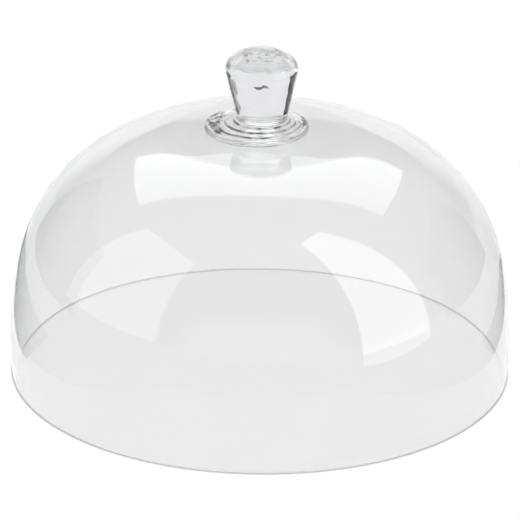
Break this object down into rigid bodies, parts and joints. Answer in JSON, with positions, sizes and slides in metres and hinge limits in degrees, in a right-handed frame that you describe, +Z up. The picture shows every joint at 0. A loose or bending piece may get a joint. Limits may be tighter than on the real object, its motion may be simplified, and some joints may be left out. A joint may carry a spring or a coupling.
{
  "type": "glass display dome",
  "caption": "Wide, low bell of clear glass with a fire-polished rim and a solid knob on a collar, lifted off whole to cover cakes or display pieces.",
  "frame": {"origin": "centre of the rim, in the plane that the rim rests on", "axes": "+Z up along the axis of revolution, through the knob; X and Y lie in the rim's plane"},
  "size_m": [0.2858, 0.2856, 0.192],
  "materials": {
    "bell_glass": "clear blown glass, fire-polished, smooth",
    "knob_glass": "clear solid glass, fire-polished, smooth"
  },
  "bodies": {
    "root": {"dome_shell": "bell_glass", "knob_collar": "knob_glass", "knob": "knob_glass"}
  },
  "joints": []
}
